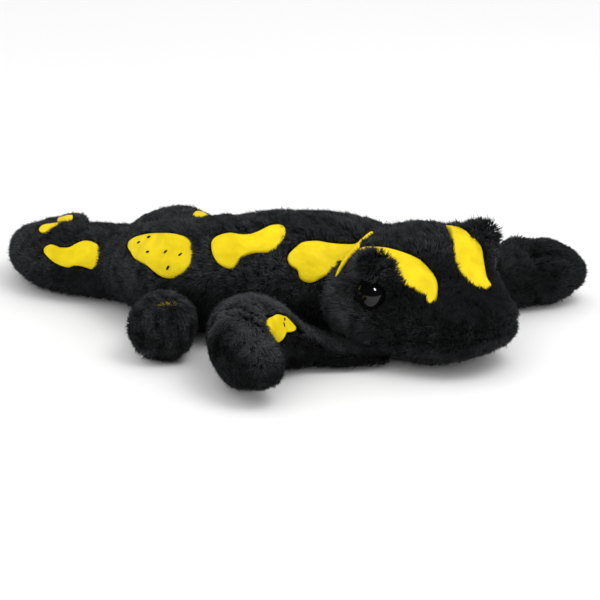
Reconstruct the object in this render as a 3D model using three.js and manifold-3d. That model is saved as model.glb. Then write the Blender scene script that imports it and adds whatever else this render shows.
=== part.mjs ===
// Stuffed toy salamander, lying on its belly: short black plush with smooth yellow fabric
// patches sewn on. Millimetres, +X towards the head along the trunk, +Y to the animal's left,
// +Z up, with the floor at Z = 0.

import * as THREE from "three";
import { mergeVertices } from "three/addons/utils/BufferGeometryUtils.js";
import Module from "manifold-3d";

const wasm = await Module();
wasm.setup();

// Driving dimensions
const GAP = 0.3; // room between neighbouring pieces
const CLEARANCE = 0.5; // growth of a piece before its neighbour is cut by it
const FLOOR = 0; // level of every flat that the toy rests on
const HEAD_TURN = THREE.MathUtils.degToRad(-22); // head turned to the animal's right
const EYE_RADIUS = 7.4; // plastic safety eye
const PATCH_LIFT = 0.6; // patch above the fur surface
const PATCH_THICKNESS = 0.9;

// Colours and finishes
const plush = { color: 0x191b1c, roughness: 0.95, metalness: 0 };
const patchCloth = { color: 0xf2dc1c, roughness: 0.6, metalness: 0 };
const eyePlastic = { color: 0x050505, roughness: 0.08, metalness: 0 };

// ---------------------------------------------------------------- shapes

const UP = new THREE.Vector3(0, 0, 1);
const smooth = (points) => new THREE.CatmullRomCurve3(points, false, "catmullrom", 0.5);
const roundedEnd = (distance) => Math.sqrt(1 - (1 - Math.min(distance, 1)) ** 2);
const pastEnd = (distance) => 1 - Math.min(distance, 1);

// The surface of a stuffed tube: a section carried along a spine. A station is
// [x, y, z, half width, height above the spine, depth below it]. The section is an ellipse whose
// corners fill out as squareness(along) passes 2. The ends close over the shares roundStart and
// roundEnd of the length, and swell(along, around) pushes the surface out. The surface takes a
// share along the spine, an angle round it from the left side up over the top, and a lift
// outwards, which turns from across the spine to along it over each rounded end.
function tubeSurface(stations, { roundStart, roundEnd, squareness = () => 2, swell = () => 0 }) {
  const spine = smooth(stations.map(([x, y, z]) => new THREE.Vector3(x, y, z)));
  const sizes = smooth(stations.map(([, , , width, above, below]) => new THREE.Vector3(width, above, below)));
  return (along, around, lift = 0) => {
    const closing = roundedEnd(along / roundStart) * roundedEnd((1 - along) / roundEnd);
    const size = sizes.getPoint(along);
    const forward = spine.getTangent(along);
    const left = UP.clone().cross(forward).normalize();
    const up = forward.clone().cross(left);
    const height = around > 0 ? size.y : size.z;
    const out = (swell(along, around) + lift) * closing;
    const sideways = Math.cos(around);
    const upwards = Math.sin(around);
    const fuller = (share) => Math.sign(share) * Math.abs(share) ** (2 / squareness(along));
    const point = spine.getPoint(along);
    point.addScaledVector(left, size.x * closing * fuller(sideways) + out * sideways);
    point.addScaledVector(up, height * closing * fuller(upwards) + out * upwards);
    const ahead = pastEnd((1 - along) / roundEnd) - pastEnd(along / roundStart);
    return point.addScaledVector(forward, lift * ahead);
  };
}

// A closed skin over such a surface, flat where it would reach below the floor. Its rings stand
// closer together towards the ends, by the share crowding.
function stuffed(surface, { sides, rings, crowding }, lift = 0) {
  const skin = new THREE.SphereGeometry(1, sides, rings);
  const place = skin.attributes.position;
  const corner = new THREE.Vector3();
  for (let i = 0; i < place.count; i += 1) {
    corner.fromBufferAttribute(place, i);
    const turn = Math.acos(THREE.MathUtils.clamp(corner.y, -1, 1));
    const along = THREE.MathUtils.lerp(turn / Math.PI, (1 - Math.cos(turn)) / 2, crowding);
    const point = surface(along, Math.atan2(corner.z, corner.x), lift);
    place.setXYZ(i, point.x, point.y, Math.max(point.z, FLOOR - lift));
  }
  return skin;
}

// A patch of cloth lying on a surface. Its outline is a closed curve through pairs of
// [share along the spine, angle in degrees] that starts at one end of the patch; the two
// edges run from there to the other end. mirrored turns it over to the other flank.
const patchSides = 8;
const patchRings = 8;
function patchOn(surface, outline, mirrored = false) {
  const around = (angle) => THREE.MathUtils.degToRad(mirrored ? 180 - angle : angle);
  const corners = outline.map(([along, angle]) => new THREE.Vector3(along, around(angle), 0));
  const edge = new THREE.CatmullRomCurve3(corners, true, "catmullrom", 0.5);
  const cloth = new THREE.SphereGeometry(1, patchSides, patchRings);
  const place = cloth.attributes.position;
  for (let i = 0; i < place.count; i += 1) {
    const length = Math.floor(i / (patchSides + 1)) / patchRings;
    const turn = (2 * Math.PI * (i % (patchSides + 1))) / patchSides;
    const across = (1 - Math.cos(turn)) / 2;
    const spot = edge.getPoint(length / 2).lerp(edge.getPoint(1 - length / 2), across);
    const puff = length > 0 && length < 1 ? Math.sin(turn) : 0;
    const point = surface(spot.x, spot.y, PATCH_LIFT + (PATCH_THICKNESS * (1 + puff)) / 2);
    place.setXYZ(i, point.x, point.y, point.z);
  }
  return cloth;
}

// ---------------------------------------------------------------- solids

// A closed body out of a closed geometry, turned the right way out.
function solidOf(geometry) {
  const bare = geometry.clone();
  bare.deleteAttribute("normal");
  bare.deleteAttribute("uv");
  const merged = mergeVertices(bare, 1e-4);
  const corners = merged.index.array;
  const faces = [];
  for (let i = 0; i < corners.length; i += 3) {
    const [a, b, c] = corners.slice(i, i + 3);
    if (a !== b && b !== c && c !== a) faces.push(a, b, c);
  }
  const bodyOf = (triangles) => new wasm.Manifold(new wasm.Mesh({
    numProp: 3,
    vertProperties: new Float32Array(merged.attributes.position.array),
    triVerts: new Uint32Array(triangles),
  }));
  const solid = bodyOf(faces);
  return solid.volume() < 0 ? bodyOf(faces.reverse()) : solid;
}

function geometryOf(solid) {
  const mesh = solid.getMesh();
  const geometry = new THREE.BufferGeometry();
  geometry.setAttribute("position", new THREE.BufferAttribute(mesh.vertProperties, 3));
  geometry.setIndex(new THREE.BufferAttribute(mesh.triVerts, 1));
  geometry.computeVertexNormals();
  return geometry;
}

// All of space on the side of a plane that the direction points to, set back from the plane.
function beyond(point, direction, setBack) {
  const size = 800;
  const half = new THREE.BoxGeometry(size, size, size);
  half.translate(0, 0, size / 2 + setBack);
  half.applyQuaternion(new THREE.Quaternion().setFromUnitVectors(UP, direction.clone().normalize()));
  half.translate(point.x, point.y, point.z);
  return solidOf(half);
}

const toy = new THREE.Group();

function add(name, solid, finish) {
  const mesh = new THREE.Mesh(geometryOf(solid), new THREE.MeshStandardMaterial(finish));
  mesh.name = name;
  toy.add(mesh);
}

// ---------------------------------------------------------------- head

// Head stations from the nape to the nose, with the eye line at x = 0 before the head is turned
const headStations = [
  [-46, 0, 26, 36, 11, 26.5],
  [-38, 0, 28, 43, 18.5, 28.8],
  [-26, 0, 29.5, 46.5, 31, 30.3],
  [-13, 0, 29.5, 46.5, 31, 30.3],
  [-3, 0, 28, 44, 27.5, 28.8],
  [5, 0, 27, 40.5, 20.5, 27.5],
  [12, 0, 26, 37, 14, 26],
  [20, 0, 25, 32.5, 10.5, 23.5],
  [30, 0, 24, 27, 9.5, 18],
  [39, 0, 23.5, 20.5, 8.5, 12.5],
  [47, 0, 23, 12.5, 6.5, 7],
];
const brow = { height: 15, along: 0.375, reach: 0.085, angle: 0.785, spread: 0.025 };
function browSwell(along, around) {
  const lengthwise = ((along - brow.along) / brow.reach) ** 2;
  const bump = (angle) => Math.exp(-lengthwise - (1 - Math.cos(around - angle)) / brow.spread);
  return brow.height * (bump(brow.angle) + bump(Math.PI - brow.angle));
}
const turned = (surface) => (along, around, lift) =>
  surface(along, around, lift).applyAxisAngle(UP, HEAD_TURN);
const headSurface = turned(tubeSurface(headStations, {
  roundStart: 0.12,
  roundEnd: 0.14,
  squareness: (along) => 2 + along,
  swell: browSwell,
}));
const headMesh = { sides: 32, rings: 23, crowding: 0.6 };
const headSkin = solidOf(stuffed(headSurface, headMesh));
const headGrown = solidOf(stuffed(headSurface, headMesh, CLEARANCE));

const eyeSeat = { x: -2.5, y: 39, z: 38.7 };
const eyeAt = (side) => new THREE.Vector3(eyeSeat.x, side * eyeSeat.y, eyeSeat.z)
  .applyAxisAngle(UP, HEAD_TURN);
function eyeBall(side, grow) {
  const ball = new THREE.SphereGeometry(EYE_RADIUS + grow, 14, 8);
  const centre = eyeAt(side);
  ball.translate(centre.x, centre.y, centre.z);
  return solidOf(ball);
}
const sockets = eyeBall(-1, GAP).add(eyeBall(1, GAP));
const mouthPoint = new THREE.Vector3(0, 0, 18.7);
const mouthUp = new THREE.Vector3(-0.1, 0, 1).applyAxisAngle(UP, HEAD_TURN);
const headWithSockets = headSkin.subtract(sockets);
add("head", headWithSockets.intersect(beyond(mouthPoint, mouthUp, GAP / 2)), plush);
add("chin", headWithSockets.intersect(beyond(mouthPoint, mouthUp.clone().negate(), GAP / 2)), plush);
add("eye_right", eyeBall(-1, 0), eyePlastic);
add("eye_left", eyeBall(1, 0), eyePlastic);

// ---------------------------------------------------------------- trunk and tail

const bodyStations = [
  [-4, 6, 30, 28, 27.5, 30],
  [-33, 6, 31, 30, 29.5, 31],
  [-51.5, 1.5, 32, 32, 32, 32.5],
  [-69, -5.5, 32.5, 32.5, 32.5, 33],
  [-94, -17, 32.5, 32, 32, 33],
  [-123, -22, 30.5, 29.5, 29.5, 31],
  [-147, -15, 26, 25, 25.5, 26.5],
  [-174, -4, 21.5, 21, 21.5, 22],
  [-196, -4, 20.5, 20.5, 20.5, 21],
  [-219, -6, 19.5, 19.5, 19.5, 20],
  [-234, 0, 18, 18.5, 17, 18.5],
  [-246, 10, 16, 16.5, 14.5, 16.5],
  [-254, 26, 13.5, 13.5, 12, 14],
  [-260, 44, 12, 11, 11, 12.5],
  [-264, 64, 10.5, 9, 9, 11],
  [-266, 84, 9.5, 7, 7, 10],
];
const bodySurface = tubeSurface(bodyStations, { roundStart: 0.06, roundEnd: 0.06 });
const bodyMesh = { sides: 22, rings: 40, crowding: 0.6 };
const bodySkin = solidOf(stuffed(bodySurface, bodyMesh)).subtract(headGrown);
const bodyGrown = solidOf(stuffed(bodySurface, bodyMesh, CLEARANCE));

const cuts = [
  { front: "shoulders", point: [-72, -7, 0], forward: [1, 0.4, 0] },
  { front: "trunk", point: [-112, -21, 0], forward: [1, 0.2, 0] },
  { front: "hips", point: [-160, -14, 0], forward: [1, -0.2, 0] },
  { front: "tail_base", point: [-203, -9, 0], forward: [1, 0, 0] },
  { front: "tail_middle", point: [-236, 6, 0], forward: [0.6, -1, 0] },
  { front: "tail_curl", point: [-251, 45, 0], forward: [0.3, -1, 0] },
];
let rest = bodySkin;
for (const cut of cuts) {
  const point = new THREE.Vector3(...cut.point);
  const forward = new THREE.Vector3(...cut.forward);
  add(cut.front, rest.intersect(beyond(point, forward, GAP / 2)), plush);
  rest = rest.intersect(beyond(point, forward.negate(), GAP / 2));
}
add("tail_tip", rest, plush);

// ---------------------------------------------------------------- legs

const legMesh = { sides: 16, rings: 11, crowding: 1 };
const legs = {
  foreleg_right: {
    stations: [
      [-8, -27, 6, 11, 4, 6],
      [-34, -38, 8.5, 13, 5, 8.5],
      [-46, -46, 15, 14, 4, 15.5],
      [-59, -62.5, 22.3, 18.5, 15, 22.3],
      [-61, -78, 24.2, 19.5, 19, 24.3],
      [-53, -92, 23, 15.5, 18, 23],
      [-33, -103.5, 14.2, 17, 13.5, 15.5],
    ],
    wrist: [-56, -66, 24],
    outward: [-0.3, -1, 0],
  },
  foreleg_left: {
    stations: [
      [-26, 22, 26, 15, 16, 17],
      [-12, 48, 23, 15, 15, 18],
      [2, 74, 19, 16, 15, 19],
      [17, 98, 17, 20, 17, 17.5],
      [36, 119, 15, 19, 15, 15.5],
    ],
    wrist: [6, 80, 19],
    outward: [0.6, 1, 0],
  },
  hindleg_right: {
    stations: [
      [-134, -26, 18, 14, 10, 16],
      [-125, -48, 17, 14.5, 11, 16],
      [-115, -67, 17.5, 16.5, 15.5, 18],
      [-109, -84, 17.5, 16.5, 17, 17.5],
    ],
    wrist: [-123, -55, 20],
    outward: [0.4, -1, 0],
  },
  hindleg_left: {
    stations: [
      [-130, -12, 32, 15, 16, 16],
      [-144, 10, 33, 17, 18, 18],
      [-164, 26, 30, 18, 17, 18],
      [-185, 38, 25, 16, 13, 15],
      [-203, 50, 22, 11, 7, 10],
    ],
    wrist: [-170, 30, 28],
    outward: [-1, 0.8, 0],
  },
};
const legSurface = {};
for (const [name, leg] of Object.entries(legs)) {
  legSurface[name] = tubeSurface(leg.stations, { roundStart: 0.2, roundEnd: 0.22 });
  const skin = solidOf(stuffed(legSurface[name], legMesh)).subtract(bodyGrown).subtract(headGrown);
  const wrist = new THREE.Vector3(...leg.wrist);
  const outward = new THREE.Vector3(...leg.outward);
  add(name, skin.intersect(beyond(wrist, outward.clone().negate(), GAP / 2)), plush);
  add(name.replace("leg", "foot"), skin.intersect(beyond(wrist, outward, GAP / 2)), plush);
}

// ---------------------------------------------------------------- yellow patches

// On the body an angle of 0 is the animal's right flank, as its spine runs towards the tail
const shoulderPatch = [[0.221, 33], [0.217, 25], [0.206, 21], [0.199, 13], [0.183, 10], [0.16, 15],
  [0.125, 24], [0.092, 38], [0.073, 54], [0.068, 70], [0.085, 60], [0.1, 53], [0.118, 51], [0.136, 50],
  [0.155, 50], [0.175, 51], [0.196, 49], [0.212, 42]];
const backPatch = [[0.293, 42], [0.291, 54], [0.279, 59], [0.264, 57], [0.252, 60], [0.24, 69], [0.229, 69],
  [0.224, 60], [0.227, 49], [0.238, 38], [0.253, 37], [0.263, 32], [0.27, 21], [0.285, 26]];
const hipPatch = [[0.412, 42], [0.406, 56], [0.385, 59], [0.36, 59], [0.332, 58], [0.316, 51], [0.31, 38],
  [0.309, 24], [0.318, 13], [0.334, 8], [0.353, 18], [0.386, 26]];
const tailPatch = [[0.596, 26], [0.588, 38], [0.573, 35], [0.56, 36], [0.546, 45], [0.53, 50], [0.511, 45],
  [0.497, 30], [0.499, 14], [0.511, 2], [0.531, 5], [0.548, 5], [0.562, 1], [0.582, 9]];
const curlPatch = [[0.608, 58], [0.6, 64], [0.597, 76], [0.6, 96], [0.612, 108], [0.628, 100], [0.636, 80],
  [0.626, 64]];
const tipPatch = [[0.84, 118], [0.862, 100], [0.9, 88], [0.942, 94], [0.924, 120], [0.88, 138]];
// The stripes run from the neck over the brows and down in front of the eyes
const rightStripe = [[0.235, 52], [0.29, 61], [0.334, 68], [0.385, 74], [0.441, 80], [0.515, 83],
  [0.58, 81], [0.64, 73], [0.664, 59], [0.612, 63], [0.561, 61], [0.505, 53], [0.455, 53], [0.408, 55],
  [0.36, 51], [0.29, 48]];
const leftStripe = [[0.235, 54], [0.29, 67], [0.338, 71], [0.4, 75], [0.47, 80], [0.53, 81],
  [0.592, 77], [0.646, 72], [0.672, 61], [0.648, 50], [0.596, 51], [0.529, 50], [0.47, 51], [0.422, 56],
  [0.37, 60], [0.3, 57]];
const forelegPatch = [[0.432, 37], [0.455, 44], [0.49, 46], [0.545, 43], [0.64, 41], [0.74, 40], [0.83, 50],
  [0.848, 38], [0.805, 20], [0.745, 4], [0.66, 10], [0.503, 18]];
const hiddenForelegPatch = [[0.27, 128], [0.33, 115], [0.4, 117], [0.44, 132], [0.41, 150], [0.33, 152]];
const hindlegPatch = [[0.89, 96], [0.87, 76], [0.81, 60], [0.745, 52], [0.69, 56], [0.72, 67], [0.79, 75],
  [0.845, 86]];
const raisedLegPatch = [[0.17, 100], [0.21, 86], [0.27, 94], [0.325, 112], [0.29, 125], [0.22, 120]];
const patches = [
  ["patch_shoulder_right", patchOn(bodySurface, shoulderPatch)],
  ["patch_shoulder_left", patchOn(bodySurface, shoulderPatch, true)],
  ["patch_back_right", patchOn(bodySurface, backPatch)],
  ["patch_back_left", patchOn(bodySurface, backPatch, true)],
  ["patch_hip_right", patchOn(bodySurface, hipPatch)],
  ["patch_tail_right", patchOn(bodySurface, tailPatch)],
  ["patch_tail_left", patchOn(bodySurface, tailPatch, true)],
  ["patch_tail_curl", patchOn(bodySurface, curlPatch)],
  ["patch_tail_tip", patchOn(bodySurface, tipPatch)],
  ["stripe_right", patchOn(headSurface, rightStripe, true)],
  ["stripe_left", patchOn(headSurface, leftStripe)],
  ["patch_foreleg_right", patchOn(legSurface.foreleg_right, forelegPatch)],
  ["patch_foreleg_left", patchOn(legSurface.foreleg_left, hiddenForelegPatch)],
  ["patch_hindleg_right", patchOn(legSurface.hindleg_right, hindlegPatch)],
  ["patch_hindleg_left", patchOn(legSurface.hindleg_left, raisedLegPatch)],
];
for (const [name, cloth] of patches) add(name, solidOf(cloth).subtract(headGrown), patchCloth);

// The origin is the middle of the footprint, at floor level
const extent = new THREE.Box3().setFromObject(toy, true);
const middle = extent.getCenter(new THREE.Vector3());
toy.position.set(-middle.x, -middle.y, FLOOR);

export default toy;
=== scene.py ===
import bpy
import numpy as np
from mathutils import Matrix, Vector


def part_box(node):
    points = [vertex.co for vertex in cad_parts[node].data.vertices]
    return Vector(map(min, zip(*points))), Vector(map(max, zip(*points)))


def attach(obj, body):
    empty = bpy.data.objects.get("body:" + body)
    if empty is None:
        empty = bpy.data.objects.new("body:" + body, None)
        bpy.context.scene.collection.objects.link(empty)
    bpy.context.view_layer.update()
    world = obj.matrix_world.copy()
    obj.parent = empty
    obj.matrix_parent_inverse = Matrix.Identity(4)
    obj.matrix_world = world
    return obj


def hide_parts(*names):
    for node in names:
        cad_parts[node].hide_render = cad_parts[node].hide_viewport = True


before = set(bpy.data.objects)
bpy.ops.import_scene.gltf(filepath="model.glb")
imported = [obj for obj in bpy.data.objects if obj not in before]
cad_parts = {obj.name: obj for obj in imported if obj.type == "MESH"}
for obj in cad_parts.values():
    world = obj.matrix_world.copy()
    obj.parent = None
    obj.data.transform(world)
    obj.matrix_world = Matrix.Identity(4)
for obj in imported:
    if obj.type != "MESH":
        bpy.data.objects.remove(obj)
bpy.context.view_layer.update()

# ---------------------------------------------------------------------------
# The stuffed body. Black knitted plush, cut in panels, sewn inside out, turned and filled with
# loose polyester: a broad flat head, a trunk that runs into the curled tail, and four legs
# sewn on. One skin here is the knitted ground of all of them, under the pile.

MM = 0.001
PILE = 3.6  # depth of the pile over the knitted ground, mm
HEAD_TURN = np.radians(-22.0)
EYE_SEAT = np.array([-2.5, 39.0, 38.7])  # left eye in the unturned head, mm
PRESSED = 0.8  # height of the knitted ground where the toy's weight presses the pile flat, mm
VOXEL = 1.4  # grain at which the stuffed pieces are fused into one skin, mm


def turn_head(points, angle=HEAD_TURN):
    """Points turned about the upright axis: x' = x cos - y sin, y' = x sin + y cos."""
    x, y, z = np.moveaxis(np.asarray(points, float), -1, 0)
    return np.stack([x * np.cos(angle) - y * np.sin(angle), x * np.sin(angle) + y * np.cos(angle), z], -1)


eye_boxes = [np.array(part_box(name)) for name in ("eye_right", "eye_left")]
eye_middle = np.mean([(low + high) / 2 for low, high in eye_boxes], axis=0)
# All sizes below are mm from the floor point under the middle of the eye line
ORIGIN = eye_middle - MM * turn_head(EYE_SEAT * [1, 0, 1])


def unit(vectors):
    """Vectors scaled to length 1."""
    return vectors / np.maximum(np.linalg.norm(vectors, axis=-1, keepdims=True), 1e-9)


def through(stations, share):
    """The smooth curve through the stations and its slope: on each step a cubic that takes half
    the distance between the neighbouring stations as its slope at either end."""
    share = np.asarray(share, float)
    step = np.clip(np.floor(share * (len(stations) - 1)).astype(int), 0, len(stations) - 2)
    w = (share * (len(stations) - 1) - step)[..., None]
    row = np.vstack([2 * stations[0] - stations[1], stations, 2 * stations[-1] - stations[-2]])
    before, start, end, after = row[step], row[step + 1], row[step + 2], row[step + 3]
    rise, fall = (end - before) / 2, (after - start) / 2
    second = 3 * (end - start) - 2 * rise - fall
    third = 2 * (start - end) + rise + fall
    return start + w * (rise + w * (second + w * third)), rise + w * (2 * second + 3 * w * third)


class Tube:
    """A stuffed tube: an oval section carried along a spine. A station is x, y, z, half width,
    height above the spine and depth below it. A place on it is a share along the spine and an
    angle from the left of the way ahead, up over the top. The ends close like a ball's, over
    the shares start and end. Fullness squares the section off towards the far end, swell
    pushes the outline out, and turn turns the whole tube about the upright axis.

    The rest is how its pile grows and is painted. Thinning is the part of its depth lost in the far
    half, reach its height for that depth, and lie how far it bends over. The next two are painted
    light and shade, standing in for how the light falls on the pile and glances off it: how light the
    pile is painted in the first quarter and in the far half, and how light where the ground turns
    down, out and up. Mottle is how uneven that painted light is."""

    def __init__(self, stations, start, end, fullness=0.0, swell=None, turn=0.0, thinning=0.0,
                 lie=1.0, bloom=(1.0, 1.0), facing=(0.3, 1.0, 0.95), mottle=0.35, reach=1.1):
        self.stations = np.array(stations, float)
        self.start, self.end, self.fullness, self.swell, self.turn = start, end, fullness, swell, turn
        self.thinning, self.reach, self.lie = thinning, reach, lie
        self.bloom, self.facing, self.mottle = bloom, facing, mottle
        self.folds = []
        steps = np.diff(through(self.stations, np.linspace(0, 1, 400))[0][:, :3], axis=0)
        self.length = np.linalg.norm(steps, axis=1).sum()

    def closing(self, along):
        """The share of its full size that the section has, falling as a circle does at the ends."""
        share = 1.0
        for distance in (along / self.start, (1 - along) / self.end):
            share = share * np.sqrt(np.maximum(0, 1 - (1 - np.minimum(distance, 1)) ** 2))
        return share

    def axes(self, along):
        """Centre, section sizes, and the unit vectors ahead, left and up of the spine."""
        station, slope = through(self.stations, along)
        ahead = unit(slope[..., :3])
        left = unit(np.cross([0, 0, 1.0], ahead))
        return station[..., :3], station[..., 3:], ahead, left, np.cross(ahead, left)

    def at(self, along, around, lift=0.0):
        """Centre + left * (width cos) + up * (height sin), with the cosine and sine raised to
        2 / (2 + fullness * along), pushed out by the swell and the lift. Over a rounded end the
        lift turns from across the spine to along it."""
        along, around = np.broadcast_arrays(np.asarray(along, float), np.asarray(around, float))
        centre, size, ahead, left, up = self.axes(along)
        close = self.closing(along)
        out = (lift + (self.swell(along, around) if self.swell else 0.0)) * close
        power = 2 / (2 + self.fullness * along)
        cos, sin = np.cos(around), np.sin(around)
        height = np.where(sin > 0, size[..., 1], size[..., 2])
        sideways = size[..., 0] * close * np.sign(cos) * np.abs(cos) ** power + out * cos
        upwards = height * close * np.sign(sin) * np.abs(sin) ** power + out * sin
        past = np.maximum(0, 1 - (1 - along) / self.end) - np.maximum(0, 1 - along / self.start)
        points = (centre + left * sideways[..., None] + up * upwards[..., None]
                  + ahead * (lift * past)[..., None])
        return turn_head(points, self.turn) if self.turn else points

    def fold(self, corners, depth, reach):
        """Adds a sewn fold along the smooth curve through corners of share and degrees, so many
        mm deep and reaching so many mm to each side."""
        share, degrees = through(np.array(corners, float), np.linspace(0, 1, 100))[0].T
        self.folds.append((self.at(share, np.radians(degrees)), depth, reach))

    def sunk(self, points):
        """How far the folds draw the ground in: the deepest of their depths, each times a bell
        curve of the distance to its line."""
        depths = np.zeros(points.shape[:-1])
        for line, depth, reach in self.folds:
            square = (points ** 2).sum(-1)[..., None] + (line ** 2).sum(-1) - 2 * points @ line.T
            depths = np.maximum(depths, depth * np.exp(-square.min(-1) / reach ** 2))
        return depths

    def pile(self, along, around):
        """Depth of the pile in mm: it loses the thinning between the shares 0.5 and 0.7, towards
        a foot or the nose, and gains a tenth of the swelling."""
        depth = PILE * (1 - self.thinning * np.clip((along - 0.5) / 0.2, 0, 1))
        return depth + (0.1 * self.swell(along, around) if self.swell else 0.0)

    def ground(self, along, around):
        """The knitted ground: the outline less the depth of the pile, drawn in at the folds."""
        drawn = self.sunk(self.at(along, around)) if self.folds else 0.0
        return self.at(along, around, -self.pile(along, around) - drawn)

    def dressing(self, along, around):
        """The ground's point, its unit normal from the differences to its neighbours, and the
        part of the way ahead that lies in the surface, which falls to 0 on a rounded end."""
        small = 1e-3
        crosswise = self.ground(along, around + small) - self.ground(along, around - small)
        lengthwise = self.ground(along + small, around) - self.ground(along - small, around)
        normal = unit(np.cross(crosswise, lengthwise))
        ahead = self.axes(along)[2]
        ahead = turn_head(ahead, self.turn) if self.turn else ahead
        return self.ground(along, around), normal, ahead - (ahead * normal).sum(-1, keepdims=True) * normal

    def depth(self, points, lift=0.0):
        """How deep points lie in the tube: 1 on its surface, less inside. The nearest of 160
        sections is taken, and the point's offset is read in that section's own sizes."""
        points = turn_head(points, -self.turn) if self.turn else points
        along = np.linspace(0, 1, 160)
        centre, size, _, left, up = self.axes(along)
        size = np.maximum((size + lift) * self.closing(along)[:, None], 0.2)
        near = np.argmin((centre ** 2).sum(-1) - 2 * points @ centre.T, axis=1)
        offset = points - centre[near]
        sideways = (offset * left[near]).sum(-1) / size[near, 0]
        upwards = (offset * up[near]).sum(-1)
        upwards = upwards / np.where(upwards > 0, size[near, 1], size[near, 2])
        power = 2 + self.fullness * along[near]
        return (np.abs(sideways) ** power + np.abs(upwards) ** power) ** (1 / power)


BROW_HEIGHT = 15  # of the swellings over the eyes, mm
BROW_SHARE, BROW_LENGTH = 0.375, 0.085  # their place along the head, and the bell's width there
BROW_ANGLE, BROW_GIRTH = 0.785, 0.025  # their place round the head, and the bell's width there
# Height in mm, share, degrees, and the bells' two widths of each toe and of the dip between two
TOES = [(3.0, 0.665, 73, 0.045, 0.05), (1.0, 0.78, 98, 0.06, 0.06),
        (-2.0, 0.865, 124, 0.035, 0.04), (3.0, 0.955, 168, 0.06, 0.14)]


def brows(along, around):
    """Two round swellings over the eyes: a bell curve along the head times one round it."""
    bell = np.exp(-((along - BROW_SHARE) / BROW_LENGTH) ** 2)
    return BROW_HEIGHT * bell * sum(np.exp(-(1 - np.cos(around - side)) / BROW_GIRTH)
                                    for side in (BROW_ANGLE, np.pi - BROW_ANGLE))


def toes(along, around):
    """Three soft lobes and a dip at the end of the left forefoot, each a bell curve along it
    times one round it."""
    return sum(height * np.exp(-((along - share) / length) ** 2
                               - (1 - np.cos(around - np.radians(side))) / girth)
               for height, share, side, length, girth in TOES)


LEG = dict(start=0.2, end=0.22, thinning=0.2, lie=1.2)  # how all four close and grow their pile

# Besides its shape, each piece sets the painted light and shade of its pile, lighter or darker by place and
# by the way it faces
body = Tube([
    [-4, 6, 30, 28, 27.5, 30], [-33, 6, 31, 30, 29.5, 31], [-51.5, 1.5, 32, 32, 32, 32.5],
    [-69, -5.5, 32.5, 32.5, 32.5, 33], [-94, -17, 32.5, 32, 32, 33], [-123, -22, 30.5, 29.5, 29.5, 31],
    [-147, -15, 26, 25, 25.5, 26.5], [-174, -4, 21.5, 21, 21.5, 22], [-196, -4, 20.5, 20.5, 20.5, 21],
    [-219, -6, 19.5, 19.5, 19.5, 20], [-234, 0, 18, 18.5, 17, 18.5], [-246, 10, 16, 16.5, 14.5, 16.5],
    [-254, 26, 13.5, 13.5, 12, 14], [-260, 44, 12, 11, 11, 12.5], [-264, 64, 10.5, 9, 9, 11],
    [-266, 84, 9.5, 7, 7, 10]], 0.06, 0.06, bloom=(1.14, 0.86))
head = Tube([
    [-46, 0, 26, 36, 11, 26.5], [-38, 0, 28, 43, 18.5, 28.8], [-26, 0, 29.5, 46.5, 31, 30.3],
    [-13, 0, 29.5, 46.5, 31, 30.3], [-3, 0, 28, 44, 27.5, 28.8], [5, 0, 27, 40.5, 20.5, 27.5],
    [12, 0, 26, 37, 14, 26], [20, 0, 25, 32.5, 10.5, 23.5], [30, 0, 24, 27, 9.5, 18],
    [39, 0, 23.5, 20.5, 8.5, 12.5], [47, 0, 23, 12.5, 6.5, 7]],
    0.12, 0.14, fullness=1.0, swell=brows, turn=HEAD_TURN, thinning=0.2, lie=0.8,
    bloom=(2.1, 0.3), facing=(1.2, 0.86, 0.38), mottle=0.5, reach=1.2)
legs = {
    "foreleg_right": Tube([
        [-8, -27, 6, 11, 4, 6], [-34, -38, 8.5, 13, 5, 8.5], [-46, -46, 15, 14, 4, 15.5],
        [-59, -62.5, 22.3, 18.5, 15, 22.3], [-61, -78, 24.2, 19.5, 19, 24.3],
        [-53, -92, 23, 15.5, 18, 23], [-33, -103.5, 14.2, 17, 13.5, 15.5]],
        bloom=(0.12, 0.62), facing=(0.7, 0.5, 6.0), **LEG),
    "foreleg_left": Tube([
        [-26, 22, 26, 15, 16, 17], [-12, 48, 23, 15, 15, 18], [2, 74, 19, 16, 15, 19],
        [17, 98, 17, 20, 17, 17.5], [36, 119, 15, 19, 15, 15.5]],
        swell=toes, bloom=(0.32, 0.32), facing=(0.9, 0.9, 1.3), reach=1.3, **LEG),
    "hindleg_right": Tube([
        [-134, -26, 18, 14, 10, 16], [-125, -48, 17, 14.5, 11, 16], [-115, -67, 17.5, 16.5, 15.5, 18],
        [-109, -84, 17.5, 16.5, 17, 17.5]], facing=(0.6, 0.9, 1.1), mottle=0.6, **LEG),
    "hindleg_left": Tube([
        [-130, -12, 32, 15, 16, 16], [-144, 10, 33, 17, 18, 18], [-164, 26, 30, 18, 17, 18],
        [-185, 38, 25, 16, 13, 15], [-203, 50, 22, 11, 7, 10]], **LEG),
}

# The mouth is a sewn fold from each cheek to the nose, and the forefeet have folds for their toes
MOUTH = [(0.44, 22), (0.53, 17), (0.63, 10), (0.72, 4), (0.846, 1), (0.95, 0), (0.995, 0)]
head.fold([(along, -angle) for along, angle in MOUTH], 2.2, 1.6)
head.fold([(along, 180 + angle) for along, angle in MOUTH], 2.2, 1.6)
legs["foreleg_right"].fold([(0.734, 178), (0.753, 151), (0.74, 131), (0.775, 101), (0.812, 81),
                            (0.836, 52), (0.874, 28)], 2.6, 1.8)
legs["foreleg_right"].fold([(0.698, 123), (0.679, 89), (0.701, 65), (0.777, 53)], 1.8, 1.5)
legs["foreleg_left"].fold([(0.707, 89), (0.654, 115), (0.632, 133)], 4.0, 2.4)
legs["foreleg_left"].fold([(0.638, 141), (0.715, 130), (0.807, 131), (0.882, 142)], 4.2, 2.4)

# A crease runs down the neck, where the trunk bends against the head
body.fold([(0.128, 18), (0.146, 8), (0.164, -2), (0.168, -19), (0.16, -42), (0.136, -68)], 3.0, 2.2)
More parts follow.
